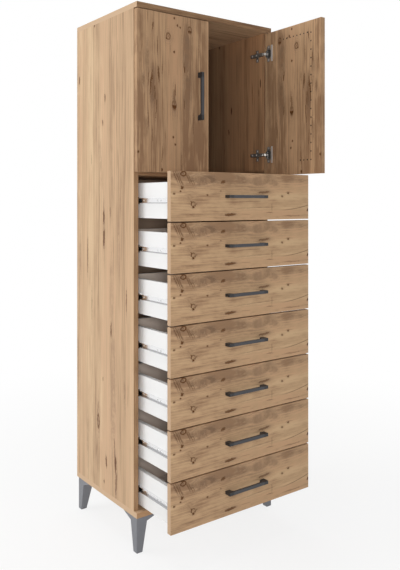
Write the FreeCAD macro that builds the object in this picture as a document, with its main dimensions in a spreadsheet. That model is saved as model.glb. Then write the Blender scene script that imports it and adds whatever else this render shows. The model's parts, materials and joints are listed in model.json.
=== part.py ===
"""A tall cabinet with seven drawers below a pair of doors, in millimetres.

The origin is on the floor under the middle of the carcass. X runs to the right seen from the front, Y to
the back and Z up. The drawers stand pulled out, the right door stands open and the left door is shut.
"""
import FreeCAD
import Part
import Sketcher

import math
import os
from types import SimpleNamespace

Vector = FreeCAD.Vector
X_AXIS = Vector(1, 0, 0)
Y_AXIS = Vector(0, 1, 0)
Z_AXIS = Vector(0, 0, 1)
DRAWERS = 7

sizes = {
    # Carcass boards
    "width": 600,
    "depth": 438,
    "carcass_height": 1714,
    "board": 18,
    "front_board": 18,
    "front_gap": 2,
    "reveal": 4,
    "side_reveal": 1,
    "back_board": 3,
    "back_inset": 12,
    "groove_depth": 6,
    "groove_slack": 0.2,
    # Legs
    "leg_height": 116,
    "leg_foot": 22,
    "leg_neck": 40,
    "leg_flange": 90,
    "leg_flange_height": 17,
    "leg_rear_inset": 14,
    "leg_seat": 3,
    "leg_screw": 4,
    "leg_screw_head": 8,
    "leg_screw_head_height": 2.2,
    "leg_screw_length": 15,
    "leg_well_play": 1,
    # Drawers
    "drawer_pitch": 161,
    "pulled": 198,
    "box_board": 15,
    "box_height": 117,
    "box_rise": 7,
    "box_length": 354,
    "bottom_board": 3,
    "bottom_rise": 10,
    # Runners
    "runner_space": 10.5,
    "rail_steel": 1.2,
    "rail_height": 27,
    "rail_depth": 8,
    "rail_length": 350,
    "rail_setback": 2,
    "rail_play": 0.3,
    "slide_height": 17,
    "slide_depth": 8.1,
    "rail_hole": 4.6,
    "rail_hole_margin": 35,
    # Handles
    "handle_length": 168,
    "handle_projection": 24,
    "handle_height": 10,
    "handle_thickness": 8,
    "handle_post": 18,
    "handle_bend": 9,
    "handle_corner": 2,
    "door_handle_inset": 42,
    # Doors and their concealed hinges
    "door_open": 88.5,
    "pole_inset": 7,
    "pole_reach": 14.5,
    "pivot_reach": 8.5,
    "hinge_inset": 79,
    "cup_diameter": 35,
    "cup_depth": 12,
    "cup_tab": 3,
    "cup_wall": 1.2,
    "cup_slack": 0.1,
    "flange_length": 62,
    "flange_width": 17,
    "flange_steel": 1,
    "flange_screws": 48,
    "screw_hole": 4.5,
    "plate_setback": 37,
    "plate_length": 46,
    "plate_width": 13,
    "plate_steel": 2,
    "plate_screws": 32,
    "ridge_length": 44,
    "arm_length": 60,
    "arm_width": 12,
    "arm_steel": 1.2,
    "pin_inset": 12,
    "pin_reach": 4,
    "pin_diameter": 3,
    "pin_slack": 0.1,
    "link_eye": 5.6,
    "link_steel": 2,
    "link_bow": 5.5,
    "link_play": 0.4,
    # Knock-down fittings
    "cam_spread": 300,
    "cam_diameter": 15,
    "cam_depth": 12.5,
    "cam_reach": 24,
    "bolt_thread": 6,
    "bolt_thread_length": 11,
    "bolt_shank": 5,
    "bolt_head": 6.6,
    "bolt_head_length": 3,
    "dowel_spread": 200,
    "dowel_diameter": 8,
    "dowel_length": 30,
    "dowel_seat": 12,
    "bore_slack": 0.1,
}

doc = FreeCAD.newDocument("drawer_cabinet")
sheet = doc.addObject("Spreadsheet::Sheet", "Sizes")
for row, (alias, number) in enumerate(sizes.items(), 1):
    sheet.set(f"A{row}", alias)
    sheet.set(f"B{row}", str(number))
    sheet.setAlias(f"B{row}", alias)
doc.recompute()
pieces = []


class Size:
    """A number together with the formula that ties it to the sheet."""

    def __init__(self, value, text):
        self.value = value
        self.text = text

    def __add__(self, other):
        other = as_size(other)
        return Size(self.value + other.value, f"({self.text} + {other.text})")

    def __sub__(self, other):
        other = as_size(other)
        return Size(self.value - other.value, f"({self.text} - {other.text})")

    def __mul__(self, other):
        other = as_size(other)
        return Size(self.value * other.value, f"({self.text} * {other.text})")

    def __truediv__(self, other):
        other = as_size(other)
        return Size(self.value / other.value, f"({self.text} / {other.text})")

    def __neg__(self):
        return Size(-self.value, f"(-1 * {self.text})")

    __radd__ = __add__
    __rmul__ = __mul__


def as_size(value):
    return value if isinstance(value, Size) else Size(value, repr(value))


def root(size):
    return Size(math.sqrt(size.value), f"sqrt({size.text})")


def turned(x, y, angle):
    """A point turned about the origin by an angle in degrees."""
    cosine = Size(math.cos(math.radians(angle.value)), f"cos({angle.text})")
    sine = Size(math.sin(math.radians(angle.value)), f"sin({angle.text})")
    return x * cosine - y * sine, x * sine + y * cosine


def bearing(x, y):
    """The angle in degrees of the line from the origin to a point."""
    return Size(math.degrees(math.atan2(y.value, x.value)), f"atan2({y.text}; {x.text})")


s = SimpleNamespace(**{alias: Size(number, f"Sizes.{alias}") for alias, number in sizes.items()})

# Places that several pieces share
half_width = s.width / 2
inner_x = half_width - s.board
front_plane = -s.depth / 2
front_edge = front_plane + s.front_board + s.front_gap
rear_edge = s.depth / 2
side_depth = rear_edge - front_edge
side_middle = (front_edge + rear_edge) / 2
floor_z = s.leg_height + s.board
ceiling_z = s.leg_height + s.carcass_height - s.board
stack_z = floor_z + s.reveal
front_height = s.drawer_pitch - s.reveal
doors_z = stack_z + DRAWERS * s.drawer_pitch
shelf_z = doors_z - s.reveal / 2 - s.board / 2
back_face = rear_edge - s.back_inset - s.back_board
tongue = s.groove_depth - s.groove_slack


def bind(item, prop, size):
    item.setExpression(prop, as_size(size).text)


def place(item, at, axis=Z_AXIS, angle=0):
    """Puts an object at a point of the sheet's sizes, turned about an axis through that point."""
    turn = as_size(angle)
    item.Placement = FreeCAD.Placement(Vector(), FreeCAD.Rotation(axis, turn.value))
    for letter, size in zip("xyz", at):
        bind(item, f"Placement.Base.{letter}", size)
    if isinstance(angle, Size):
        bind(item, "Placement.Rotation.Angle", angle)
    return item


def box(name, corner, sizes):
    item = doc.addObject("Part::Box", name)
    for prop, size in zip(("Length", "Width", "Height"), sizes):
        bind(item, prop, size)
    return place(item, corner)


def rod(name, diameter, length, start, axis=Z_AXIS, angle=0):
    item = doc.addObject("Part::Cylinder", name)
    bind(item, "Radius", as_size(diameter) / 2)
    bind(item, "Height", length)
    return place(item, start, axis, angle)


def wedge(name, foot, head, corner, height):
    """A block with a square foot and a square head of two sizes, which share one upright corner."""
    item = doc.addObject("Part::Wedge", name)
    bounds = {"Xmax": foot, "Zmin": -foot, "Ymax": height, "X2max": head, "Z2min": -head}
    bounds.update({prop: 0 for prop in ("Xmin", "Zmax", "Ymin", "X2min", "Z2max")})
    for prop, size in bounds.items():
        bind(item, prop, size)
    return place(item, corner, X_AXIS, 90)


def rod_x(name, diameter, length, start):
    return rod(name, diameter, length, start, Y_AXIS, 90)


def rod_y(name, diameter, length, start):
    return rod(name, diameter, length, start, X_AXIS, -90)


def group(name, items):
    item = doc.addObject("Part::Compound", name)
    item.Links = items
    return item


def fuse(name, items):
    item = doc.addObject("Part::MultiFuse", name)
    item.Shapes = items
    item.Refine = True
    return item


def cut(name, base, tools):
    item = doc.addObject("Part::Cut", name)
    item.Base = base
    item.Tool = tools[0] if len(tools) == 1 else fuse(f"{name}_tools", tools)
    return item


def common(name, base, tool):
    item = doc.addObject("Part::Common", name)
    item.Base = base
    item.Tool = tool
    return item


def copy(name, source, at, axis=Z_AXIS, angle=0):
    return place(group(name, [source]), at, axis, angle)


def mirror(name, source, normal=X_AXIS, base_y=0):
    item = doc.addObject("Part::Mirroring", name)
    item.Source = source
    item.Normal = normal
    bind(item, "Base.y", base_y)
    return item


def keep(item):
    """Marks an object as a piece of the cabinet, which is written to a file of its own."""
    pieces.append(item)
    return item


def sketch_on(body, role, name):
    """Starts a sketch on one of the body's own planes."""
    plane = next(p for p in body.Origin.OriginFeatures if p.Role == role)
    sketch = body.newObject("Sketcher::SketchObject", name)
    sketch.AttachmentSupport = [(plane, "")]
    sketch.MapMode = "FlatFace"
    return sketch


def pin_corner(sketch, line, kind, size):
    size = as_size(size)
    index = sketch.addConstraint(Sketcher.Constraint(kind, -1, 1, line, 1, size.value))
    bind(sketch, f"Constraints[{index}]", size)


def outline(sketch, corners):
    """Draws a closed outline of straight lines whose corners follow the sheet."""
    points = [Vector(as_size(x).value, as_size(y).value, 0) for x, y in corners]
    for start, end in zip(points, points[1:] + points[:1]):
        sketch.addGeometry(Part.LineSegment(start, end))
    for line in range(len(points)):
        following = (line + 1) % len(points)
        sketch.addConstraint(Sketcher.Constraint("Coincident", line, 2, following, 1))
    for line, (x, y) in enumerate(corners):
        pin_corner(sketch, line, "DistanceX", x)
        pin_corner(sketch, line, "DistanceY", y)
    return sketch


def pad(name, role, corners, length, reverse=False):
    """Makes a body from one outline pushed along the normal of its plane."""
    body = doc.addObject("PartDesign::Body", name)
    sketch = outline(sketch_on(body, role, f"{name}_outline"), corners)
    feature = body.newObject("PartDesign::Pad", f"{name}_pad")
    feature.Profile = sketch
    feature.Reversed = reverse
    bind(feature, "Length", length)
    doc.recompute()
    return body


def round_edges(body, name, radius, chosen):
    """Rounds the edges of the body's last feature that the test picks."""
    base = body.Tip
    edges = [f"Edge{i}" for i, edge in enumerate(base.Shape.Edges, 1) if chosen(edge)]
    feature = body.newObject("PartDesign::Fillet", name)
    feature.Base = (base, edges)
    bind(feature, "Radius", radius)
    doc.recompute()


def near(value, size):
    return abs(value - as_size(size).value) < 1e-4


def stands(edge):
    return edge.BoundBox.XLength < 1e-4 and edge.BoundBox.YLength < 1e-4


def fixings():
    """Cam locks with their bolts, and dowels, for the joints of the right side with the other boards.

    A joint's own frame has X into the board that holds the cam, and Z along the bolt into the other board.
    """
    middle = s.board / 2
    bore = s.bolt_head + 2 * s.bore_slack
    bolt = fuse("cam_bolt", [
        rod("bolt_thread_end", s.bolt_thread, s.bolt_thread_length, (middle, 0, 0)),
        rod("bolt_shank_rod", s.bolt_shank, s.cam_reach, (middle, 0, -s.cam_reach)),
        rod("bolt_head_rod", s.bolt_head, s.bolt_head_length, (middle, 0, -s.cam_reach)),
    ])
    lock = cut("cam_lock", rod_x("cam_disc", s.cam_diameter, s.cam_depth, (0, 0, -s.cam_reach)), [
        rod("cam_slot", bore, s.cam_diameter, (middle, 0, -s.cam_reach - s.bolt_head / 2)),
    ])
    cam_bores = fuse("cam_bores", [
        rod_x("cam_recess", s.cam_diameter + 2 * s.bore_slack, s.cam_depth + s.bore_slack,
              (0, 0, -s.cam_reach)),
        rod("bolt_bore", bore, s.cam_reach, (middle, 0, -s.cam_reach)),
        rod("thread_bore", s.bolt_thread + 2 * s.bore_slack, s.bolt_thread_length + s.bore_slack,
            (middle, 0, 0)),
    ])
    dowel = rod("dowel", s.dowel_diameter, s.dowel_length, (middle, 0, s.dowel_seat - s.dowel_length))
    dowel_bore = rod("dowel_bore", s.dowel_diameter + 2 * s.bore_slack, s.dowel_length + 2 * s.bore_slack,
                     (middle, 0, s.dowel_seat - s.dowel_length - s.bore_slack))
    joints = {
        "top": (ceiling_z, X_AXIS, 0),
        "bottom": (floor_z, X_AXIS, 180),
        "shelf": (shelf_z, Vector(1, 0, 1), 180),
    }
    hardware = {"cam_bolts": [], "cam_locks": [], "dowels": []}
    bores = {}
    for joint, (z, axis, angle) in joints.items():
        tools = []
        for row, sign in (("front", -1), ("rear", 1)):
            at_cam = (inner_x, side_middle + sign * s.cam_spread / 2, z)
            at_dowel = (inner_x, side_middle + sign * s.dowel_spread / 2, z)
            tag = f"{joint}_{row}"
            hardware["cam_bolts"].append(copy(f"bolt_{tag}", bolt, at_cam, axis, angle))
            hardware["cam_locks"].append(copy(f"lock_{tag}", lock, at_cam, axis, angle))
            hardware["dowels"].append(copy(f"dowel_{tag}", dowel, at_dowel, axis, angle))
            tools.append(copy(f"cam_bores_{tag}", cam_bores, at_cam, axis, angle))
            tools.append(copy(f"dowel_bore_{tag}", dowel_bore, at_dowel, axis, angle))
        right = group(f"{joint}_bores_right", tools)
        bores[joint] = [right, mirror(f"{joint}_bores_left", right)]
    for name, items in hardware.items():
        right = group(f"{name}_right", items)
        keep(group(name, [right, mirror(f"{name}_left", right)]))
    return bores


def carcass(leg_bores):
    bores = fixings()
    bores["bottom"].append(leg_bores)
    groove = box("back_groove", (-half_width + s.board - s.groove_depth, back_face - s.groove_slack,
                                 floor_z - s.groove_depth),
                 (s.width - 2 * s.board + 2 * s.groove_depth, s.back_board + 2 * s.groove_slack,
                  ceiling_z - floor_z + 2 * s.groove_depth))
    side = box("side_blank", (inner_x, front_edge, floor_z), (s.board, side_depth, ceiling_z - floor_z))
    right_bores = [bores[joint][0] for joint in ("top", "bottom", "shelf")]
    side_right = keep(cut("side_panel_right", side, right_bores + [groove]))
    keep(mirror("side_panel_left", side_right))
    for name, joint, z in (("top_panel", "top", ceiling_z), ("bottom_panel", "bottom", s.leg_height)):
        blank = box(f"{name}_blank", (-half_width, front_plane, z), (s.width, s.depth, s.board))
        keep(cut(name, blank, bores[joint] + [groove]))
    shelf = box("shelf_blank", (-inner_x, front_edge, shelf_z),
                (2 * inner_x, back_face - s.groove_slack - front_edge, s.board))
    keep(cut("fixed_shelf", shelf, bores["shelf"]))
    keep(box("back_panel", (-inner_x - tongue, back_face, floor_z - tongue),
             (2 * (inner_x + tongue), s.back_board, ceiling_z - floor_z + 2 * tongue)))


def corners(name, source):
    """The source at the front left corner, and its mirror images at the other three."""
    front_right = mirror(f"{name}_front_right", source)
    rear_left = mirror(f"{name}_rear_left", source, Y_AXIS, -s.leg_rear_inset / 2)
    return [source, front_right, rear_left, mirror(f"{name}_rear_right", rear_left)]


def legs():
    """Moulded corner legs: a tapered post with its two outer faces upright, flared to a square flange.

    Three screws go up through each flange. The bores that they need in the bottom panel are given back.
    """
    neck_z = s.leg_height - s.leg_flange_height
    body = fuse("leg_body", [
        wedge("leg_post", s.leg_foot, s.leg_neck, (-half_width, front_plane, 0), neck_z),
        wedge("leg_flare", s.leg_neck, s.leg_flange, (-half_width, front_plane, neck_z),
              s.leg_flange_height),
    ])
    seat_z = s.leg_height - s.leg_seat
    along = s.leg_neck / 2
    out = (s.leg_neck + s.leg_flange) / 2
    bores, wells, screws = [], [], []
    for i, (right, back) in enumerate(((out, along), (along, out), (out, out))):
        at = (right - half_width, front_plane + back)
        bores.append(rod(f"leg_bore_{i}", s.leg_screw + 2 * s.bore_slack, s.leg_screw_length + s.bore_slack,
                         (*at, seat_z)))
        wells.append(rod(f"leg_well_{i}", s.leg_screw_head + 2 * s.leg_well_play, s.leg_flange_height,
                         (*at, seat_z - s.leg_flange_height)))
        screws.append(fuse(f"leg_screw_{i}", [
            rod(f"leg_screw_shank_{i}", s.leg_screw, s.leg_screw_length, (*at, seat_z)),
            rod(f"leg_screw_head_{i}", s.leg_screw_head, s.leg_screw_head_height,
                (*at, seat_z - s.leg_screw_head_height)),
        ]))
    for leg in corners("leg", cut("leg_front_left", body, wells + bores)):
        keep(leg)
    keep(group("leg_screws", corners("leg_screws", group("leg_screws_front_left", screws))))
    return group("leg_bores", corners("leg_bores", group("leg_bores_front_left", bores)))


def rail_profile(reach, half, web_at, back):
    """A channel section: a web and two flanges that stand away from it."""
    return [(web_at, -half), (reach, -half), (reach, s.rail_steel - half), (back, s.rail_steel - half),
            (back, half - s.rail_steel), (reach, half - s.rail_steel), (reach, half), (web_at, half)]


def runners():
    """Two-part steel runners: a lipped channel on each side panel and a smaller one on each drawer side."""
    rail_z = stack_z + s.box_rise + s.box_height / 2
    half = s.rail_height / 2
    lip = s.slide_height / 2 + s.rail_play
    fixed_section = [
        (0, -half), (-s.rail_depth, -half), (-s.rail_depth, -lip), (s.rail_steel - s.rail_depth, -lip),
        (s.rail_steel - s.rail_depth, s.rail_steel - half), (-s.rail_steel, s.rail_steel - half),
        (-s.rail_steel, half - s.rail_steel), (s.rail_steel - s.rail_depth, half - s.rail_steel),
        (s.rail_steel - s.rail_depth, lip), (-s.rail_depth, lip), (-s.rail_depth, half), (0, half),
    ]
    moving_section = rail_profile(s.slide_depth - s.runner_space, s.slide_height / 2, -s.runner_space,
                                  s.rail_steel - s.runner_space)
    right = {}
    for name, section in (("cabinet_rail", fixed_section), ("drawer_rail", moving_section)):
        bar = pad(f"{name}_bar", "XZ_Plane", section, s.rail_length, reverse=True)
        hole_places = (s.rail_hole_margin, s.rail_length / 2, s.rail_length - s.rail_hole_margin)
        holes = [rod_x(f"{name}_hole_{i}", s.rail_hole, s.runner_space, (-s.runner_space, y, 0))
                 for i, y in enumerate(hole_places)]
        right[name] = copy(f"{name}_right", cut(f"{name}_drilled", bar, holes),
                           (inner_x, front_edge + s.rail_setback, rail_z))
    pairs = {name: group(f"{name}_pair", [rail, mirror(f"{name}_left", rail)])
             for name, rail in right.items()}
    levels = [copy(f"cabinet_rails_{i}", pairs["cabinet_rail"], (0, 0, i * s.drawer_pitch))
              for i in range(DRAWERS)]
    keep(group("cabinet_rails", levels))
    return pairs["drawer_rail"]


def handle_bar():
    """A bridge pull along X: two posts that sweep into a flat bar, with its seat in the plane Y = 0."""
    half = s.handle_length / 2
    gap = half - s.handle_post
    inside = s.handle_thickness - s.handle_projection
    body = pad("handle_bar", "XY_Plane", [
        (-half, 0), (-half, -s.handle_projection), (half, -s.handle_projection), (half, 0),
        (gap, 0), (gap, inside), (-gap, inside), (-gap, 0),
    ], s.handle_height)
    round_edges(body, "handle_sweeps", s.handle_bend, lambda e: stands(e) and near(e.BoundBox.YMin, inside))
    round_edges(body, "handle_corners", s.handle_corner,
                lambda e: stands(e) and near(e.BoundBox.YMin, -s.handle_projection))
    return copy("handle", body, (0, 0, -s.handle_height / 2))


def drawers(handle, rails):
    """The lowest drawer is modelled shut. All seven are copies of it, pulled out and stacked."""
    front_back = front_plane + s.front_board
    outer = inner_x - s.runner_space
    inner = outer - s.box_board
    box_z = stack_z + s.box_rise
    groove_z = box_z + s.bottom_rise - s.groove_slack
    groove = box("drawer_groove", (-inner - s.groove_depth, front_back - s.groove_depth, groove_z),
                 (2 * (inner + s.groove_depth), s.box_length - s.box_board + 2 * s.groove_depth,
                  s.bottom_board + 2 * s.groove_slack))
    front_blank = box("drawer_front_blank", (s.side_reveal - half_width, front_plane, stack_z),
                      (s.width - 2 * s.side_reveal, s.front_board, front_height))
    side_blank = box("drawer_side_blank", (inner, front_back, box_z),
                     (s.box_board, s.box_length, s.box_height))
    side = cut("drawer_side", side_blank, [groove])
    back_blank = box("drawer_back_blank", (-inner, front_back + s.box_length - s.box_board, box_z),
                     (2 * inner, s.box_board, s.box_height))
    masters = {
        "front": cut("drawer_front", front_blank, [groove]),
        "box": group("drawer_box", [side, mirror("drawer_side_left", side),
                                    cut("drawer_back", back_blank, [groove])]),
        "bottom": box("drawer_bottom", (-inner - tongue, front_back - tongue, box_z + s.bottom_rise),
                      (2 * (inner + tongue), s.box_length - s.box_board + 2 * tongue, s.bottom_board)),
        "handle": copy("drawer_handle", handle, (0, front_plane, stack_z + front_height / 2)),
        "rails": rails,
    }
    for number in range(1, DRAWERS + 1):
        level = (DRAWERS - number) * s.drawer_pitch
        for name, master in masters.items():
            keep(copy(f"drawer_{number}_{name}", master, (0, -s.pulled, level)))


def hinge_cup(pivot_x, pivot_y):
    """A pressed cup with a flange for two screws and a pin across it, which the link holds.

    Its mouth is in the plane Y = 0, and it is sunk along -Y.
    """
    flange_end = (s.flange_length - s.flange_width) / 2
    shell = fuse("cup_shell", [
        rod_y("cup_wall_rod", s.cup_diameter, s.cup_depth, (0, -s.cup_depth, 0)),
        rod_y("cup_rim", s.cup_diameter + 2 * s.cup_wall, s.flange_steel, (0, 0, 0)),
        box("cup_flange", (-s.flange_width / 2, 0, -flange_end),
            (s.flange_width, s.flange_steel, 2 * flange_end)),
        rod_y("cup_flange_top", s.flange_width, s.flange_steel, (0, 0, flange_end)),
        rod_y("cup_flange_foot", s.flange_width, s.flange_steel, (0, 0, -flange_end)),
    ])
    hollow = rod_y("cup_hollow", s.cup_diameter - 2 * s.cup_wall, s.cup_depth - s.cup_wall + s.flange_steel,
                   (0, s.cup_wall - s.cup_depth, 0))
    holes = [rod_y(f"cup_screw_hole_{i}", s.screw_hole, s.flange_steel, (0, 0, sign * s.flange_screws / 2))
             for i, sign in enumerate((-1, 1))]
    long_pin = rod("cup_pin_rod", s.pin_diameter, s.cup_diameter, (pivot_x, pivot_y, -s.cup_diameter / 2))
    core = rod_y("cup_core", s.cup_diameter - s.cup_wall, s.cup_depth, (0, -s.cup_depth, 0))
    pin = common("cup_pin", long_pin, core)
    return fuse("hinge_cup", [cut("cup_hollowed", shell, [hollow] + holes), pin])


def hinge_arm():
    """The cabinet half of a hinge on the right side: a cross plate with a ridge, and a channel arm over it.

    The origin is on the side panel's inner face, at its front edge and the hinge's height.
    """
    eye_room = s.link_eye / 2 + s.link_play
    roof = -s.pin_inset - eye_room
    edge = eye_room - s.pin_inset
    tip = -s.pin_reach - eye_room
    ridge_width = s.arm_width - 2 * (s.arm_steel + s.link_play)
    plate = cut("plate_drilled", fuse("plate_cross", [
        box("plate_wings", (-s.plate_steel, s.plate_setback - s.plate_width / 2, -s.plate_length / 2),
            (s.plate_steel, s.plate_width, s.plate_length)),
        box("plate_ridge", (roof, s.plate_setback - s.ridge_length / 2, -ridge_width / 2),
            (-roof, s.ridge_length, ridge_width)),
    ]), [
        rod_x(f"plate_hole_{i}", s.screw_hole, s.plate_steel,
              (-s.plate_steel, s.plate_setback, sign * s.plate_screws / 2))
        for i, sign in enumerate((-1, 1))
    ])
    channel = pad("arm_channel", "XY_Plane", [
        (edge, tip), (edge, s.arm_length), (roof - s.arm_steel, s.arm_length),
        (roof - s.arm_steel, s.link_eye), (roof, tip),
    ], s.arm_width)
    room = box("arm_room", (roof, tip, s.arm_steel),
               (edge - roof, s.arm_length - tip, s.arm_width - 2 * s.arm_steel))
    pin = rod("arm_pin", s.pin_diameter, s.arm_width, (-s.pin_inset, -s.pin_reach, 0))
    arm = fuse("arm_with_pin", [cut("arm_folded", channel, [room]), pin])
    return plate, copy("hinge_arm", arm, (0, 0, -s.arm_width / 2))


def hinge_link(length):
    """The bowed link of a hinge, from the arm's pin at its origin along +X to the cup's pin."""
    arc_radius = (length * length / 4 + s.link_bow * s.link_bow) / (2 * s.link_bow)
    link_width = s.arm_width - 2 * (s.arm_steel + s.link_play)
    centre = (length / 2, arc_radius - s.link_bow, 0)
    ring = cut("link_ring", rod("link_outer", 2 * arc_radius + s.link_steel, link_width, centre),
               [rod("link_inner", 2 * arc_radius - s.link_steel, link_width, centre)])
    below = box("link_below", (-s.link_eye, -2 * arc_radius, 0),
                (length + 2 * s.link_eye, 2 * arc_radius, link_width))
    ends = [rod(f"link_eye_{i}", s.link_eye, link_width, (x, 0, 0)) for i, x in enumerate((0, length))]
    holes = [rod(f"link_hole_{i}", s.pin_diameter + 2 * s.pin_slack, link_width, (x, 0, 0))
             for i, x in enumerate((0, length))]
    drilled = cut("link_drilled", fuse("link_body", [common("link_strip", ring, below)] + ends), holes)
    return copy("hinge_link", drilled, (0, 0, -link_width / 2))


def doors(handle):
    """A right door, set open on the right and mirrored shut on the left.

    Its frame is at the pole, the point about which one turn takes the shut door to the open one. The cup's
    pin is as far from the arm's pin at both ends of that turn, so one link reaches it there.
    """
    pole_x = half_width - s.pole_inset
    pole_y = front_edge - s.pole_reach
    hinge_side = s.pole_inset - s.side_reveal
    free_side = s.reveal / 2 - pole_x
    inner_face = s.pole_reach - s.front_gap
    outer_face = inner_face - s.front_board
    door_height = ceiling_z - s.reveal - doors_z
    hinge_levels = (doors_z + s.hinge_inset, doors_z + door_height - s.hinge_inset)
    cup_x = hinge_side - s.cup_tab - s.cup_diameter / 2

    pin_x = inner_x - s.pin_inset - pole_x
    pin_y = s.pole_reach - s.pin_reach
    share = s.pivot_reach / root(pin_x * pin_x + pin_y * pin_y)
    shut_x, shut_y = turned(pin_x * share, pin_y * share, -s.door_open / 2)
    open_x, open_y = turned(pin_x * share, pin_y * share, s.door_open / 2)
    link_x = shut_x - pin_x
    link_y = shut_y - pin_y

    cup = hinge_cup(shut_x - cup_x, shut_y - inner_face)
    recess_depth = s.cup_depth + s.cup_slack
    recesses = [rod_y(f"cup_recess_{i}", s.cup_diameter + 2 * s.cup_slack, recess_depth,
                      (cup_x, inner_face - recess_depth, z)) for i, z in enumerate(hinge_levels)]
    blank = box("door_blank", (free_side, outer_face, doors_z),
                (hinge_side - free_side, s.front_board, door_height))
    masters = {
        "door": cut("door_panel", blank, recesses),
        "door_handle": copy("door_pull", handle, (free_side + s.door_handle_inset, outer_face,
                                                  doors_z + door_height / 2), Y_AXIS, 90),
        "hinge_cups": group("hinge_cup_pair", [copy(f"hinge_cup_{i}", cup, (cup_x, inner_face, z))
                                               for i, z in enumerate(hinge_levels)]),
    }
    for name, master in masters.items():
        keep(copy(f"right_{name}", master, (pole_x, pole_y, 0), Z_AXIS, s.door_open))
        keep(copy(f"left_{name}", mirror(f"{name}_mirrored", master), (-pole_x, pole_y, 0)))

    plate, arm = hinge_arm()
    for name, source in (("hinge_plates", plate), ("hinge_arms", arm)):
        right = group(f"{name}_right", [copy(f"{name}_{i}", source, (inner_x, front_edge, z))
                                        for i, z in enumerate(hinge_levels)])
        keep(group(name, [right, mirror(f"{name}_left", right)]))

    link = hinge_link(root(link_x * link_x + link_y * link_y))
    links = group("link_pair", [copy(f"link_{i}", link, (0, 0, z)) for i, z in enumerate(hinge_levels)])
    at_pin = (pole_x + pin_x, pole_y + pin_y, 0)
    keep(copy("right_hinge_links", links, at_pin, Z_AXIS, bearing(open_x - pin_x, open_y - pin_y)))
    shut = copy("links_shut", links, at_pin, Z_AXIS, bearing(link_x, link_y))
    keep(mirror("left_hinge_links", shut))


def check_and_write():
    doc.recompute()
    for item in doc.Objects:
        if "Invalid" in item.State or "Error" in item.State:
            raise RuntimeError(f"{item.Name} failed: {item.State}")
    for piece in pieces:
        if piece.Shape.isNull() or not piece.Shape.isValid() or not piece.Shape.Solids:
            raise RuntimeError(f"{piece.Label} has no valid shape")
    os.makedirs("parts", exist_ok=True)
    for piece in pieces:
        piece.Shape.exportStep(f"parts/{piece.Label}.step")
    print(len(pieces), "pieces,", sum(len(piece.Shape.Solids) for piece in pieces), "solids")


carcass(legs())
handle = handle_bar()
drawers(handle, runners())
doors(handle)
check_and_write()
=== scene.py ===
"""Looks of a tall cabinet with drawers, in metres.

Decor boards, white drawer boxes, steel fittings, small fasteners, light and camera.
"""

import json
import math

import bmesh
import bpy
from mathutils import Matrix, Vector


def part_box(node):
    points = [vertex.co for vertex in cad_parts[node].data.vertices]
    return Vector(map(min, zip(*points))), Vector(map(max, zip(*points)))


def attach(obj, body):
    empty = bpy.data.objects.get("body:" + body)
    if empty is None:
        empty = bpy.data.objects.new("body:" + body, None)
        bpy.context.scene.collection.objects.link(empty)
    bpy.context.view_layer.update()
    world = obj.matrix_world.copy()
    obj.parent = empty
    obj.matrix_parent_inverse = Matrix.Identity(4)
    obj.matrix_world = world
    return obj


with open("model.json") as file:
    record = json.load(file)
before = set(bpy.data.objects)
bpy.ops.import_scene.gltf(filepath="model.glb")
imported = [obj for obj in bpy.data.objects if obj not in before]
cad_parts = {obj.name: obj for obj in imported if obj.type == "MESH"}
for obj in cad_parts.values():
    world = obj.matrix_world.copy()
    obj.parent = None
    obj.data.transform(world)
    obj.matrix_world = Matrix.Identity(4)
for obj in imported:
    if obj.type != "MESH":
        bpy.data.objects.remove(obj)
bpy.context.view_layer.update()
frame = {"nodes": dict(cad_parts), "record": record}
nodes = frame["nodes"]
subparts = frame["record"]["subparts"]

MILLIMETRE = 0.001
AXIS_X, AXIS_Y, AXIS_Z = 0, 1, 2
BOTH = (-1, 1)
TO_BACK = (0.0, 1.0, 0.0)
DRAWERS = range(1, 8)
DOOR_OPEN = math.radians(88.5)

# Camera at the photograph's place, level, with its view shifted down
CAMERA_PLACE = (-1.467, -2.141, 1.166)
CAMERA_TURN = math.radians(-36.66)
CAMERA_LENS = 42.75
CAMERA_SHIFT = (-0.0013, -0.1464)

# Places read from the frame
side_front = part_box("side_panel_left")[0].y
inner_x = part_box("side_panel_right")[0].x
carcass_middle = (side_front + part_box("side_panel_right")[1].y) / 2
shelf_low, shelf_high = (corner.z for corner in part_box("fixed_shelf"))
front_low, front_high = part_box("drawer_7_front")
drawer_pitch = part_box("drawer_6_front")[0].z - front_low.z
rail_low, rail_high = (corner.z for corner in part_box("drawer_7_rails"))
rail_level = (rail_low + rail_high) / 2
rail_half = (rail_high - rail_low) / 2
handle_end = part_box("drawer_7_handle")[1].x
box_half = max(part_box(row["node"])[1].x for row in subparts
               if row["node"].startswith("drawer_7_") and row["material_slot"] == "white_board")
door_low, door_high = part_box("left_door")
door_middle = (door_low + door_high) / 2
open_low, open_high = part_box("right_door")
open_middle = (open_low + open_high) / 2

# Takes the right door from its shut place, opposite the left door, to its place at rest
shut_middle = Vector((-door_middle.x, door_middle.y, door_middle.z))
swing = (Matrix.Translation(open_middle) @ Matrix.Rotation(DOOR_OPEN, 4, "Z")
         @ Matrix.Translation(-shut_middle))


def feed(tree, socket, value):
    """Links a socket to another one, or sets its value."""
    if isinstance(value, bpy.types.NodeSocket):
        tree.links.new(value, socket)
    else:
        socket.default_value = value


def add(tree, kind, inputs=(), **settings):
    """A new shader node with its settings, and with its inputs linked or set."""
    made = tree.nodes.new(f"ShaderNode{kind}")
    for key, setting in settings.items():
        setattr(made, key, setting)
    for key, value in dict(inputs).items():
        feed(tree, made.inputs[key], value)
    return made


def calc(tree, operation, *values):
    return add(tree, "Math", dict(enumerate(values)), operation=operation).outputs[0]


def vector_calc(tree, operation, first, second):
    return add(tree, "VectorMath", {0: first, 1: second}, operation=operation).outputs[0]


def scaled(tree, vector, factors):
    return vector_calc(tree, "MULTIPLY", vector, factors)


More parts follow.
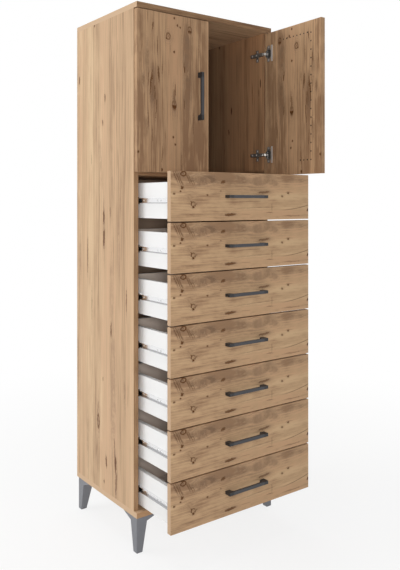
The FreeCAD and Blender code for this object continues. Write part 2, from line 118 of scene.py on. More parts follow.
def mix(tree, factor, first, second, blend="MIX"):
    """A blend of two colours."""
    inputs = {0: factor, 6: first, 7: second}
    return add(tree, "Mix", inputs, data_type="RGBA", blend_type=blend).outputs[2]


def remap(tree, value, low, high, to_low=0.0, to_high=1.0):
    """A smooth step between two limits."""
    inputs = {"Value": value, "From Min": low, "From Max": high, "To Min": to_low, "To Max": to_high}
    return add(tree, "MapRange", inputs, interpolation_type="SMOOTHSTEP").outputs[0]


def noise_outputs(tree, vector, features, detail, roughness=0.5):
    """A noise with its own number of features per metre on each axis: its value and its colour."""
    inputs = {"Vector": scaled(tree, vector, features), "Scale": 1.0, "Detail": detail,
              "Roughness": roughness}
    return add(tree, "TexNoise", inputs).outputs


def noise(tree, vector, features, detail, roughness=0.5):
    return noise_outputs(tree, vector, features, detail, roughness)[0]


def split(tree, vector):
    return add(tree, "SeparateXYZ", {"Vector": vector}).outputs


def join(tree, x, y, z):
    return add(tree, "CombineXYZ", {"X": x, "Y": y, "Z": z}).outputs[0]


def mark_reach(tree, along, across):
    """Distance from the middle of a mark, where 1 is its outline."""
    return calc(tree, "SQRT", calc(tree, "ADD", calc(tree, "MULTIPLY", along, along),
                                   calc(tree, "MULTIPLY", across, across)))


def new_group(name, inputs, outputs):
    """Starts a node group. Returns its tree, the sockets that come in and the sockets that go out."""
    tree = bpy.data.node_groups.new(name, "ShaderNodeTree")
    for label, value in inputs.items():
        kind = {float: "Float", tuple: "Vector"}[type(value)]
        socket = tree.interface.new_socket(label, in_out="INPUT", socket_type=f"NodeSocket{kind}")
        socket.default_value = value
    for label, kind in outputs.items():
        tree.interface.new_socket(label, in_out="OUTPUT", socket_type=f"NodeSocket{kind}")
    return tree, tree.nodes.new("NodeGroupInput").outputs, tree.nodes.new("NodeGroupOutput").inputs


def use_group(tree, group, inputs):
    return add(tree, "Group", inputs, node_tree=group).outputs


# Noises of the print: features per metre along the grain, across it and through the board, then detail and
# roughness
NOISES = {
    "sway": ((2.2, 7.0, 7.0), 3.0, 0.5),
    "broad": ((2.0, 16.0, 16.0), 3.0, 0.5),
    "cloud": ((11.0, 24.0, 24.0), 4.0, 0.6),
    "streak": ((4.5, 85.0, 85.0), 3.0, 0.6),
    "thread": ((6.0, 210.0, 210.0), 2.0, 0.5),
    "fibre": ((26.0, 1000.0, 1000.0), 1.0, 0.5),
    "fleck": ((14.0, 190.0, 190.0), 2.0, 0.5),
    "fleck patch": ((2.4, 9.0, 9.0), 1.0, 0.5),
    "line": ((4.5, 230.0, 230.0), 3.0, 0.6),
    "line sheaf": ((3.0, 30.0, 30.0), 2.0, 0.5),
    "band drift": ((7.0, 22.0, 1.0), 3.0, 0.6),
    "mark wobble": ((150.0, 240.0, 1.0), 3.0, 0.65),
    "mark shift": ((55.0, 110.0, 1.0), 2.0, 0.5),
    "halo patch": ((22.0, 95.0, 1.0), 4.0, 0.65),
    "back fibre": ((240.0, 240.0, 240.0), 4.0, 0.65),
}
NOISE_MEAN = 0.5

# A mark's limits, where 1 is its outline: where each part of it starts to show and where it shows in full
HEART_EDGE = (1.05, 0.55)
RING_INSIDE, RING_OUTSIDE = (0.4, 0.75), (1.2, 0.9)
RING_EYE, RING_EYE_DARK = (0.3, 0.1), 0.7
HALO_EDGE = (2.2, 0.5)
WAVE_RATE, WAVE_CREST, WAVE_EDGE = 9.5, (0.1, 0.9), (3.6, 1.6)
WOBBLE_MEAN, WOBBLE_REACH = 0.52, 1.7
BEND_FALL = -0.6


def knot_group():
    """One knot or mark of the decor, which bends the board round itself.

    It adds its heart and its halo to those given. The board's vector has X along the grain and Y across it.
    """
    tree, given, out = new_group(
        "decor_knot",
        {"Board": (0.0, 0.0, 0.0), "Heart": 0.0, "Halo": 0.0, "Wobble": 0.5, "Centre": (0.0, 0.0, 0.0),
         "Turn": 0.0, "Half Length": 0.01, "Half Width": 0.005, "Dark": 1.0, "Shade": 0.5, "Ring": 0.0},
        {"Board": "Vector", "Heart": "Float", "Halo": "Float"})
    offset = vector_calc(tree, "SUBTRACT", given["Board"], given["Centre"])
    turned = add(tree, "VectorRotate", {"Vector": offset, "Angle": given["Turn"]}, rotation_type="Z_AXIS")
    place = split(tree, turned.outputs[0])
    along = calc(tree, "DIVIDE", place[0], given["Half Length"])
    across = calc(tree, "DIVIDE", place[1], given["Half Width"])
    even_reach = mark_reach(tree, along, across)
    rough = calc(tree, "MULTIPLY_ADD", given["Ring"], -1.0, WOBBLE_REACH)
    wobble = calc(tree, "SUBTRACT", given["Wobble"], WOBBLE_MEAN)
    reach = calc(tree, "MULTIPLY_ADD", wobble, rough, even_reach)

    solid = remap(tree, reach, *HEART_EDGE)
    band = calc(tree, "MULTIPLY", remap(tree, reach, *RING_INSIDE), remap(tree, reach, *RING_OUTSIDE))
    eye = calc(tree, "MULTIPLY", remap(tree, reach, *RING_EYE), RING_EYE_DARK)
    ring = calc(tree, "MAXIMUM", band, eye)
    shape = add(tree, "Mix", {0: given["Ring"], 2: solid, 3: ring}).outputs[0]
    heart = calc(tree, "MULTIPLY", shape, given["Dark"])
    feed(tree, out["Heart"], calc(tree, "MAXIMUM", given["Heart"], heart))

    crests = remap(tree, calc(tree, "SINE", calc(tree, "MULTIPLY", reach, WAVE_RATE)), *WAVE_CREST)
    waves = calc(tree, "MULTIPLY", crests, remap(tree, even_reach, *WAVE_EDGE))
    waves = calc(tree, "MULTIPLY", waves, given["Ring"])
    halo = calc(tree, "MAXIMUM", remap(tree, reach, *HALO_EDGE), waves)
    halo = calc(tree, "MULTIPLY", halo, given["Shade"])
    feed(tree, out["Halo"], calc(tree, "MAXIMUM", given["Halo"], halo))

    square = calc(tree, "MULTIPLY", even_reach, even_reach)
    fall = calc(tree, "EXPONENT", calc(tree, "MULTIPLY", square, BEND_FALL))
    push = calc(tree, "MULTIPLY", calc(tree, "MULTIPLY", across, fall), given["Half Width"])
    feed(tree, out["Board"], vector_calc(tree, "SUBTRACT", given["Board"], join(tree, 0.0, push, 0.0)))
    return tree


# Staves of the print, in metres, the weights of its fixed layers, and where its flecks and lines show
STAVE_WIDTH, STAVE_SOFTNESS, STAVE_SHIFT, SWAY_REACH = 0.06, 0.25, 2.0, 0.03
STAVE_WEIGHT, BROAD_WEIGHT, FIBRE_WEIGHT = 0.2, 0.5, 0.35
FLECK_EDGE, FLECK_PATCH = (0.63, 0.72), (0.5, 0.6)
LINE_EDGE, LINE_SHEAF = (0.55, 0.7), (0.38, 0.6)


def grain_group():
    """Grain of the decor along X of the board's vector: staves, clouds, streaks, lines and flecks."""
    tree, given, out = new_group(
        "decor_grain",
        {"Board": (0.0, 0.0, 0.0), "Run": 1.0, "Streak": 0.6, "Thread": 0.6, "Cloud": 0.3},
        {"Tone": "Float", "Warmth": "Float", "Fleck": "Float", "Line": "Float", "Fibre": "Float"})
    board = given["Board"]
    place = split(tree, board)
    sway = calc(tree, "SUBTRACT", noise(tree, board, *NOISES["sway"]), NOISE_MEAN)
    across = calc(tree, "MULTIPLY_ADD", sway, SWAY_REACH, place[1])
    stave = add(tree, "TexVoronoi", {"W": calc(tree, "DIVIDE", across, STAVE_WIDTH), "Scale": 1.0,
                                     "Smoothness": STAVE_SOFTNESS},
                voronoi_dimensions="1D", feature="SMOOTH_F1")
    tint = split(tree, stave.outputs["Color"])
    along = calc(tree, "MULTIPLY", place[0], given["Run"])
    shifted = join(tree, calc(tree, "MULTIPLY_ADD", tint[1], STAVE_SHIFT, along), across, place[2])
    fibre = noise(tree, shifted, *NOISES["fibre"])
    layers = (
        (tint[0], STAVE_WEIGHT),
        (noise(tree, shifted, *NOISES["broad"]), BROAD_WEIGHT),
        (noise(tree, board, *NOISES["cloud"]), given["Cloud"]),
        (noise(tree, shifted, *NOISES["streak"]), given["Streak"]),
        (noise(tree, shifted, *NOISES["thread"]), given["Thread"]),
        (fibre, FIBRE_WEIGHT),
    )
    tone = NOISE_MEAN
    for layer, weight in layers:
        tone = calc(tree, "MULTIPLY_ADD", calc(tree, "SUBTRACT", layer, NOISE_MEAN), weight, tone)
    feed(tree, out["Tone"], tone)
    feed(tree, out["Warmth"], tint[2])
    fleck = remap(tree, noise(tree, shifted, *NOISES["fleck"]), *FLECK_EDGE)
    patch = remap(tree, noise(tree, shifted, *NOISES["fleck patch"]), *FLECK_PATCH)
    feed(tree, out["Fleck"], calc(tree, "MULTIPLY", fleck, patch))
    line = remap(tree, noise(tree, shifted, *NOISES["line"]), *LINE_EDGE)
    sheaf = remap(tree, noise(tree, shifted, *NOISES["line sheaf"]), *LINE_SHEAF)
    feed(tree, out["Line"], calc(tree, "MULTIPLY", line, sheaf))
    feed(tree, out["Fibre"], fibre)
    return tree


KNOT = knot_group()
GRAIN = grain_group()

# Colours of the decor, in linear light, and the tints that make them those of each board. Some of these
# tints are painted light or shade, as the comments beside them say.
BOARD_TONES = {"light": (0.74, 0.535, 0.33), "rosy": (0.68, 0.445, 0.275), "middle": (0.60, 0.407, 0.249),
               "dark": (0.375, 0.234, 0.139)}
PALE = (1.0, 1.0, 1.0)
FRONT_TINT = (0.946, 0.897, 0.842)
DOOR_TINT = (0.845, 0.778, 0.722)
# Painted light: the open right door has the same decor as the left one, in this lighter copy of its tint
OPEN_DOOR_TINT = (0.91, 0.842, 0.778)
BACK_TINT = (0.40, 0.30, 0.225)
# Painted shade: the side panels' inner faces take this darker tint of the decor
INNER_SHADE_TINT = (0.78, 0.645, 0.55, 1.0)
RAW_BACK = (0.84, 0.61, 0.45, 1.0)
OUTER_BACK = (0.40, 0.27, 0.175, 1.0)
# Painted shade: the front edges of the side panels, top and shelf are darkened with this tint; the bottom
# panel's front edge takes the lighter copy below
EDGE_TINT = (0.59, 0.52, 0.455, 1.0)
FOOT_EDGE_TINT = (0.84, 0.74, 0.65, 1.0)
END_COLOUR = (0.57, 0.39, 0.25, 1.0)
LEVEL_END = (0.66, 0.46, 0.295, 1.0)
SMUDGE_COLOUR = (0.235, 0.148, 0.092, 1.0)
MAUVE_COLOUR = (0.285, 0.16, 0.108, 1.0)
# Painted shade: the colour the side panels' inner faces darken towards, at the rear and just above the
# shelf; their printed streaks take it too
DEEP_SHADE_COLOUR = (0.05, 0.032, 0.02, 1.0)
HEART_COLOUR = (0.115, 0.04, 0.009, 1.0)

# Marks of the decor: millimetres along the grain and across it from the board's corner, length and width,
# degrees that the mark is turned, and from 0 to 1 how dark its heart and its halo are, and how much of
# a ring it is
FRONT_MARKS = (
    (48, 149, 23, 16, 0, 0.95, 0.9, 1.0), (18, 138, 46, 6, -64, 0.5, 0.7, 0.0),
    (27, 136, 50, 6, -64, 0.55, 0.7, 0.0), (36, 132, 46, 6, -64, 0.5, 0.7, 0.0),
    (66, 134, 42, 6, -62, 0.5, 0.7, 0.0), (76, 129, 42, 6, -60, 0.5, 0.7, 0.0),
    (86, 124, 32, 5, -58, 0.4, 0.6, 0.0), (108, 133, 60, 26, 0, 0.22, 1.0, 0.0),
    (118, 124, 44, 14, 4, 0.2, 0.9, 0.0), (152, 131, 56, 22, 0, 0.22, 1.0, 0.0),
    (207, 126, 24, 12, 8, 0.8, 0.6, 0.0), (270, 138, 130, 30, 0, 0.0, 0.6, 0.0),
    (368, 133, 80, 30, 8, 0.15, 0.7, 0.6), (425, 130, 44, 20, -20, 0.12, 0.6, 0.5),
    (340, 145, 60, 5, 10, 0.3, 0.4, 0.0), (430, 142, 90, 22, 0, 0.0, 0.5, 0.0),
    (540, 138, 110, 18, 0, 0.0, 0.4, 0.0), (43, 106, 13, 11, 30, 0.95, 0.5, 0.0),
    (37, 94, 9, 7, 0, 0.9, 0.3, 0.0), (13, 86, 10, 8, 0, 0.8, 0.3, 0.0),
    (142, 84, 9, 7, 0, 0.8, 0.3, 0.0), (180, 88, 34, 7, 5, 0.25, 0.5, 0.0),
    (196, 96, 9, 6, 0, 0.5, 0.3, 0.0), (86, 54, 16, 15, 0, 0.6, 0.4, 1.0),
    (78, 56, 16, 5, -62, 0.85, 0.3, 0.0), (96, 52, 13, 5, 40, 0.7, 0.3, 0.0),
    (86, 47, 12, 9, 0, 1.0, 0.4, 0.0), (74, 77, 26, 18, 30, 0.14, 0.5, 0.6),
    (235, 19, 56, 10, 0, 0.85, 0.6, 0.0), (384, 94, 62, 9, 3, 0.6, 0.8, 0.0),
    (469, 81, 12, 8, 0, 0.7, 0.3, 0.0), (498, 91, 13, 9, 0, 0.8, 0.3, 0.0),
    (594, 32, 10, 12, 0, 1.0, 0.2, 0.0), (421, 42, 36, 3, 88, 0.5, 0.0, 0.0),
    (412, 24, 34, 4, 0, 0.5, 0.2, 0.0), (330, 62, 90, 5, 0, 0.2, 0.3, 0.0),
    (90, 22, 110, 4, 0, 0.25, 0.3, 0.0), (520, 12, 90, 5, 0, 0.4, 0.3, 0.0),
    (300, 40, 120, 4, 2, 0.2, 0.2, 0.0),
)
DOOR_MARKS = (
    (466, 124, 24, 20, 0, 0.75, 0.5, 0.8), (459, 120, 9, 7, 0, 0.9, 0.3, 0.0),
    (532, 149, 10, 8, 0, 1.0, 0.3, 0.0), (508, 163, 11, 8, 0, 0.9, 0.3, 0.0),
    (503, 174, 9, 8, 0, 0.9, 0.3, 0.0), (415, 149, 10, 8, 0, 0.95, 0.3, 0.0),
    (122, 145, 10, 8, 0, 0.9, 0.3, 0.0), (97, 154, 10, 8, 0, 0.9, 0.3, 0.0),
    (67, 5, 11, 8, 0, 0.95, 0.3, 0.0), (9, 98, 12, 9, 0, 0.95, 0.3, 0.0),
    (500, 214, 28, 18, 0, 0.7, 0.6, 0.8), (494, 214, 10, 8, 0, 0.9, 0.3, 0.0),
    (492, 61, 34, 6, 6, 0.7, 0.5, 0.0), (332, 85, 62, 8, -4, 0.8, 0.5, 0.0),
    (289, 61, 100, 18, 0, 0.25, 0.8, 0.0), (300, 58, 90, 5, 3, 0.9, 0.4, 0.0),
    (268, 66, 70, 5, -3, 0.85, 0.4, 0.0), (315, 46, 60, 4, 4, 0.75, 0.4, 0.0),
    (262, 149, 70, 10, 0, 0.5, 0.6, 0.0), (232, 149, 34, 16, 0, 0.6, 0.6, 0.8),
    (226, 149, 16, 8, 0, 1.0, 0.4, 0.0), (285, 152, 50, 4, 3, 0.7, 0.4, 0.0),
    (359, 192, 24, 8, 0, 0.85, 0.5, 0.0), (375, 190, 30, 4, 0, 0.6, 0.3, 0.0),
    (308, 24, 40, 10, 0, 0.3, 0.6, 0.0), (423, 200, 120, 30, 0, 0.0, 0.7, 0.0),
    (300, 205, 140, 28, 0, 0.1, 0.7, 0.0), (360, 40, 130, 14, 0, 0.15, 0.6, 0.0),
    (215, 75, 80, 5, 3, 0.7, 0.5, 0.0), (180, 44, 70, 5, -3, 0.5, 0.5, 0.0),
    (150, 38, 70, 10, 0, 0.2, 0.5, 0.0), (170, 230, 90, 6, 0, 0.5, 0.5, 0.0),
    (430, 80, 70, 5, 0, 0.55, 0.5, 0.0), (40, 180, 80, 7, 0, 0.35, 0.5, 0.0),
    (240, 196, 40, 6, 0, 0.55, 0.4, 0.0), (60, 100, 70, 5, 5, 0.45, 0.4, 0.0),
    (440, 255, 60, 5, 0, 0.4, 0.4, 0.0), (352, 100, 50, 4, 2, 0.5, 0.3, 0.0),
    (130, 60, 60, 4, -3, 0.5, 0.3, 0.0),
)
SIDE_MARKS = (
    (1535, 198, 36, 8, 0, 0.9, 0.2, 0.0), (1450, 215, 28, 7, 8, 0.75, 0.2, 0.0),
    (1809, 276, 18, 9, 0, 0.9, 0.2, 0.0), (1625, 398, 36, 10, 0, 0.8, 0.2, 0.0),
    (1320, 300, 60, 4, 4, 0.4, 0.3, 0.0), (1340, 235, 90, 16, 6, 0.0, 0.4, 0.6),
    (243, 188, 46, 10, 6, 1.0, 0.6, 0.2), (250, 122, 70, 13, 0, 1.0, 0.9, 0.2),
    (300, 128, 120, 7, 4, 0.5, 0.6, 0.0), (190, 118, 90, 12, -3, 0.65, 0.9, 0.0),
    (167, 205, 14, 8, 0, 1.0, 0.3, 0.0), (371, 247, 54, 18, 4, 0.9, 0.5, 0.8),
    (420, 250, 60, 5, -4, 0.45, 0.4, 0.0), (530, 212, 18, 6, 0, 0.8, 0.2, 0.0),
    (715, 154, 64, 8, 0, 0.95, 0.5, 0.0), (1075, 205, 160, 12, 0, 0.15, 0.6, 0.0),
    (1112, 206, 56, 7, 2, 0.85, 0.4, 0.0), (1035, 205, 70, 8, -2, 0.85, 0.4, 0.0),
    (1130, 160, 40, 5, 0, 0.6, 0.3, 0.0), (960, 330, 150, 7, 0, 0.6, 0.6, 0.0),
    (1000, 100, 160, 16, 2, 0.0, 0.4, 0.0), (830, 48, 90, 7, 0, 0.6, 0.5, 0.0),
    (790, 297, 140, 6, 0, 0.4, 0.4, 0.0), (600, 140, 200, 26, 2, 0.0, 0.5, 0.0),
    (400, 138, 220, 30, -2, 0.0, 0.55, 0.0), (860, 150, 220, 22, 0, 0.0, 0.4, 0.0),
    (300, 330, 160, 14, 0, 0.1, 0.4, 0.0), (1180, 90, 80, 6, 0, 0.25, 0.4, 0.0),
    (520, 60, 160, 12, 0, 0.1, 0.4, 0.0), (960, 390, 160, 10, 0, 0.15, 0.4, 0.0),
)
# Broad bands, in millimetres: place across the board, width, and how much they lift the tone
FRONT_BANDS = ((142, 60, -0.38), (92, 44, 0.18), (50, 30, -0.07), (14, 30, -0.02))
DOOR_BANDS = ((140, 400, -0.06), (12, 40, -0.34), (62, 30, -0.14), (112, 60, 0.1), (205, 44, -0.36),
              (262, 60, -0.3))
SIDE_BANDS = ((12, 30, 0.1), (90, 50, 0.04), (145, 44, -0.17), (230, 60, 0.08), (290, 90, 0.13),
              (400, 40, -0.1))
# Broad bands of another hue, in the same way: how much they turn the light tone into the rosy one
FRONT_HUES = ((120, 50, 0.5), (78, 30, -0.5), (48, 26, -0.7), (20, 30, 0.4))
SIDE_HUES = ((90, 80, 0.9), (145, 60, 1.3), (240, 80, -0.6), (290, 90, -0.8), (395, 50, 0.7))
# Streaks on the inner faces of the side panels, in millimetres: place behind the front edge, height, width
# and length, and from 0 to 1 how dark they are
INNER_STREAKS = ((23, 1390, 36, 380, 0.22), (21, 1623, 8, 40, 0.75), (30, 1588, 6, 34, 0.5),
                 (163, 1700, 9, 170, 0.4), (96, 1480, 12, 300, 0.22), (58, 1340, 14, 170, 0.3),
                 (122, 1310, 18, 150, 0.35))


def new_material(name):
    """A material with its tree, its shader and its Object coordinates."""
    material = bpy.data.materials.new(name)
    material.use_nodes = True
    tree = material.node_tree
    return material, tree, tree.nodes["Principled BSDF"], add(tree, "TexCoord").outputs["Object"]


def normal_parts(tree):
    return split(tree, add(tree, "TexCoord").outputs["Normal"])


def bump(tree, shader, height, strength, distance):
    made = add(tree, "Bump", {"Height": height, "Strength": strength, "Distance": distance})
    feed(tree, shader.inputs["Normal"], made.outputs[0])


BAND_DRIFT = (0.25, 0.65)


def band_tone(tree, board, bands):
    """How much the broad bands lift a value, in drifts along the board."""
    across = split(tree, board)[1]
    lift = 0.0
    for middle, width, amount in bands:
        off = calc(tree, "SUBTRACT", across, middle * MILLIMETRE)
        off = calc(tree, "DIVIDE", off, width / 2 * MILLIMETRE)
        swell = calc(tree, "EXPONENT", calc(tree, "MULTIPLY", calc(tree, "MULTIPLY", off, off), -1.0))
        lift = calc(tree, "MULTIPLY_ADD", swell, amount, lift)
    drift = remap(tree, noise(tree, board, *NOISES["band drift"]), *BAND_DRIFT)
    return calc(tree, "MULTIPLY", lift, drift)


def put_marks(tree, board, ragged, marks):
    """Puts marks on a ragged board. Returns that board bent round them, their hearts and their halos."""
    wobble = noise(tree, board, *NOISES["mark wobble"])
    bent, heart, halo = ragged, 0.0, 0.0
    for along, across, length, width, turn, dark, shade, ring in marks:
        knot = use_group(tree, KNOT, {
            "Board": bent, "Heart": heart, "Halo": halo, "Wobble": wobble,
            "Centre": (along * MILLIMETRE, across * MILLIMETRE, 0.0), "Turn": math.radians(-turn),
            "Half Length": length / 2 * MILLIMETRE, "Half Width": width / 2 * MILLIMETRE,
            "Dark": dark, "Shade": shade, "Ring": ring})
        bent, heart, halo = knot["Board"], knot["Heart"], knot["Halo"]
    return bent, heart, halo


# Where the print goes from one of its tones to the next
ROSY_FROM, DARK_TO_MIDDLE, MIDDLE_TO_PALE = (0.2, 0.8), (0.22, 0.52), (0.44, 0.74)


def print_colour(tree, tone, warmth, tint):
    """Colour of the print, from its tone and its warmth."""
    tones = {}
    for key, colour in BOARD_TONES.items():
        tones[key] = tuple(part * share for part, share in zip(colour, tint)) + (1.0,)
    pale = mix(tree, remap(tree, warmth, *ROSY_FROM), tones["light"], tones["rosy"])
    colour = mix(tree, remap(tree, tone, *DARK_TO_MIDDLE), tones["dark"], tones["middle"])
    return mix(tree, remap(tree, tone, *MIDDLE_TO_PALE), colour, pale)


# How far marks are ragged and where along it a board gets lighter, in metres, how halos break up into
# patches, and how squarely a face has to look along an axis to be an end or an edge
RAGGED_REACH = (0.008, 0.005, 0.0)
LIFT_STRETCH = (0.15, 0.55)
HALO_PATCH, HALO_SHARE, HALO_LEAST = (0.38, 0.62), 0.6, 0.2
FACING = (0.6, 0.8)
DECOR_ROUGHNESS, DECOR_GLOSS, DECOR_SPECULAR = 0.42, 0.2, 0.18
DECOR_BUMP, DECOR_DEPTH = 0.12, 0.0004


def decor(name, to_board, along_axis, marks=(), tint=PALE, bands=(), hues=(), growth=None, lines=0.2,
          run=1.0, streak=0.45, thread=0.6, cloud=0.1, fleck=0.2, lift=0.0, smudge=SMUDGE_COLOUR,
          end=END_COLOUR, faces=None, edge=None):
    """Printed wood decor. to_board turns Object coordinates into the board's own: along, across, through.

    run is how fast the grain changes along the board, and lines, streak, thread, cloud and fleck are how
    strongly each of them shows. lift is how much lighter the colour gets along the board, towards a front's
    right end or a door's top; on the doors that is painted shade, darker towards the bottom. growth draws
    one more line, smudge colours lines and halos, end colours the ends of the board, faces finishes some of
    its other faces, as with the painted shade of the side panels' inner faces, and edge tints its front
    edge with painted shade.
    """
    material, tree, shader, place = new_material(name)
    normal = normal_parts(tree)
    board = to_board(tree, place)
    shift = noise_outputs(tree, board, *NOISES["mark shift"])[1]
    shift = vector_calc(tree, "SUBTRACT", shift, (NOISE_MEAN, NOISE_MEAN, NOISE_MEAN))
    ragged = vector_calc(tree, "ADD", board, scaled(tree, shift, RAGGED_REACH))
    bent, heart, halo = put_marks(tree, board, ragged, marks)
    if growth:
        heart = calc(tree, "MAXIMUM", heart, growth(tree, board))
    flowing = vector_calc(tree, "ADD", board, vector_calc(tree, "SUBTRACT", bent, ragged))
    grain = use_group(tree, GRAIN, {"Board": flowing, "Run": run, "Streak": streak, "Thread": thread,
                                    "Cloud": cloud})
    tone = calc(tree, "ADD", grain["Tone"], band_tone(tree, ragged, bands))
    if lift:
        tone = calc(tree, "ADD", tone, remap(tree, split(tree, board)[0], *LIFT_STRETCH, 0.0, lift))
    warmth = grain["Warmth"]
    if hues:
        warmth = calc(tree, "ADD", warmth, band_tone(tree, ragged, hues))
    colour = print_colour(tree, tone, warmth, tint)

    patches = remap(tree, noise(tree, flowing, *NOISES["halo patch"]), *HALO_PATCH)
    shade = calc(tree, "MULTIPLY", halo, calc(tree, "MULTIPLY_ADD", patches, HALO_SHARE, HALO_LEAST))
    shade = calc(tree, "MAXIMUM", shade, calc(tree, "MULTIPLY", grain["Line"], lines))
    heart = calc(tree, "MAXIMUM", heart, calc(tree, "MULTIPLY", grain["Fleck"], fleck))
    colour = mix(tree, shade, colour, smudge)
    colour = mix(tree, heart, colour, HEART_COLOUR)

    end_face = remap(tree, calc(tree, "ABSOLUTE", normal[along_axis]), *FACING)
    colour = mix(tree, end_face, colour, end)
    if faces:
        colour = faces(tree, place, colour)
    if edge:
        front_face = remap(tree, calc(tree, "ABSOLUTE", normal[AXIS_Y]), *FACING)
        front_edge = calc(tree, "MULTIPLY", front_face, calc(tree, "SUBTRACT", 1.0, end_face))
        colour = mix(tree, front_edge, colour, mix(tree, 1.0, colour, edge, "MULTIPLY"))
    roughness = calc(tree, "MULTIPLY_ADD", grain["Fibre"], DECOR_GLOSS, DECOR_ROUGHNESS)
    feed(tree, shader.inputs["Base Color"], colour)
    feed(tree, shader.inputs["Roughness"], roughness)
    shader.inputs["Specular IOR Level"].default_value = DECOR_SPECULAR
    bump(tree, shader, noise(tree, board, *NOISES["fibre"]), DECOR_BUMP, DECOR_DEPTH)
    return material


# The back panel: how far above the shelf's underside its raw lower part starts, in metres, how much of the
# raw colour that has, how much the outer face is flecked, and how squarely that face looks to the back
RAW_START, RAW_SHARE, OUTER_FLECKS, OUTER_FACING = 0.002, 0.9, 0.5, (0.4, 0.6)


def back_faces(tree, place, colour):
    """The back panel's raw lower part, and its plain outer face."""
    raw = remap(tree, split(tree, place)[AXIS_Z], shelf_low + RAW_START, shelf_low)
    colour = mix(tree, raw, colour, mix(tree, RAW_SHARE, colour, RAW_BACK))
    fibres = noise(tree, back_board(tree, place), *NOISES["back fibre"])
    outer = mix(tree, calc(tree, "MULTIPLY", fibres, OUTER_FLECKS), OUTER_BACK, SMUDGE_COLOUR)
    return mix(tree, remap(tree, normal_parts(tree)[AXIS_Y], *OUTER_FACING), colour, outer)


# The side panels' inner faces, in metres: how deep into the board their colour goes, where painted shade
# darkens them behind the front edge and above the shelf, and how dark it gets. A streak's outline is at 1.
INNER_SKIN = (0.001, 0.0002)
REAR_STRETCH, REAR_DARK = (0.06, 0.32), 0.5
CORNER_STRETCH, CORNER_DARK, CORNER_FOOT = (0.02, 0.006), 0.6, 0.002
STREAK_EDGE = (1.1, 0.6)


def inner_faces(tree, place, colour):
    """The side panels' inner faces, darkened with painted shade: a darker tint all over, and more of it
    towards the rear and just above the shelf.
    """
    off = calc(tree, "ABSOLUTE", split(tree, place)[AXIS_X])
    inner = remap(tree, off, *(inner_x + skin for skin in INNER_SKIN))
    inner_colour = mix(tree, 1.0, colour, INNER_SHADE_TINT, "MULTIPLY")
    return mix(tree, inner, colour, mix(tree, inner_shade_and_streaks(tree, place), inner_colour, DEEP_SHADE_COLOUR))


def inner_shade_and_streaks(tree, place):
    """How dark the inner faces are: painted shade towards the rear and just above the shelf, and a few
    printed streaks.
    """
    x = split(tree, place)
    rear = remap(tree, x[1], *(side_front + back for back in REAR_STRETCH), 0.0, REAR_DARK)
    above = remap(tree, x[2], *(shelf_high + rise for rise in CORNER_STRETCH), 0.0, CORNER_DARK)
    above = calc(tree, "MULTIPLY", above, remap(tree, x[2], shelf_low - CORNER_FOOT, shelf_low))
    dark = calc(tree, "MAXIMUM", rear, above)
    for back, height, width, length, depth in INNER_STREAKS:
        across = calc(tree, "SUBTRACT", x[1], side_front + back * MILLIMETRE)
        across = calc(tree, "DIVIDE", across, width / 2 * MILLIMETRE)
        along = calc(tree, "SUBTRACT", x[2], height * MILLIMETRE)
        along = calc(tree, "DIVIDE", along, length / 2 * MILLIMETRE)
        streak = remap(tree, mark_reach(tree, across, along), *STREAK_EDGE, 0.0, depth)
        dark = calc(tree, "MAXIMUM", dark, streak)
    return dark


# The growth line of the fronts, in metres: where it starts along and across, its rise, half width and fade
GROWTH_START, GROWTH_HEIGHT = 0.44, 0.033
GROWTH_CURVE, GROWTH_SLOPE = 0.86, -0.03
GROWTH_WIDTH, GROWTH_FADE, GROWTH_DARK = (0.0018, 0.0004), 0.09, 0.7


def growth_line(tree, board):
    """A thin dark growth line that rises towards the right end of a drawer's front."""
    place = split(tree, board)
    run = calc(tree, "SUBTRACT", place[0], GROWTH_START)
    rise = calc(tree, "MULTIPLY", run, calc(tree, "MULTIPLY_ADD", run, GROWTH_CURVE, GROWTH_SLOPE))
    off = calc(tree, "SUBTRACT", place[1], calc(tree, "ADD", rise, GROWTH_HEIGHT))
    thin = remap(tree, calc(tree, "ABSOLUTE", off), *GROWTH_WIDTH)
    drawn = calc(tree, "MULTIPLY", thin, remap(tree, run, 0.0, GROWTH_FADE))
    return calc(tree, "MULTIPLY", drawn, GROWTH_DARK)


def upright(across_axis, through_axis, start):
    """Board coordinates with the grain along Z, from a start along, across and through the board."""
    def to_board(tree, place):
        x = split(tree, place)
        axes = (AXIS_Z, across_axis, through_axis)
        return join(tree, *(calc(tree, "SUBTRACT", x[axis], begin) for axis, begin in zip(axes, start)))
    return to_board


# The back panel's print starts away from the cabinet's middle, so that it is another piece of the print
BACK_START = (0.4, 0.1, 0.0)
side_board = upright(AXIS_Y, AXIS_X, (0.0, side_front, 0.0))
back_board = upright(AXIS_X, AXIS_Y, BACK_START)
shut_door = upright(AXIS_X, AXIS_Y, (door_low.z, door_low.x, door_low.y))


def lying(tree, place):
    """Board coordinates of the boards that lie, with the grain along X."""
    return place


# Keeps a front's lower edge from falling into the front below it
FRONT_MARGIN = 0.002


def drawer_front(tree, place):
    """Board coordinates that start again at the lower left corner of each drawer's front."""
    x = split(tree, place)
    rise = calc(tree, "MODULO", calc(tree, "SUBTRACT", x[2], front_low.z - FRONT_MARGIN), drawer_pitch)
    return join(tree, calc(tree, "SUBTRACT", x[0], front_low.x), calc(tree, "SUBTRACT", rise, FRONT_MARGIN),
                calc(tree, "SUBTRACT", x[1], front_low.y))


def open_door(tree, place):
    """Board coordinates of the right door, from the lower corner that is its left one when it is shut."""
    x = split(tree, shut_place(tree, place))
    return join(tree, calc(tree, "SUBTRACT", x[2], door_low.z), calc(tree, "ADD", x[0], door_high.x),
                calc(tree, "SUBTRACT", x[1], door_low.y))


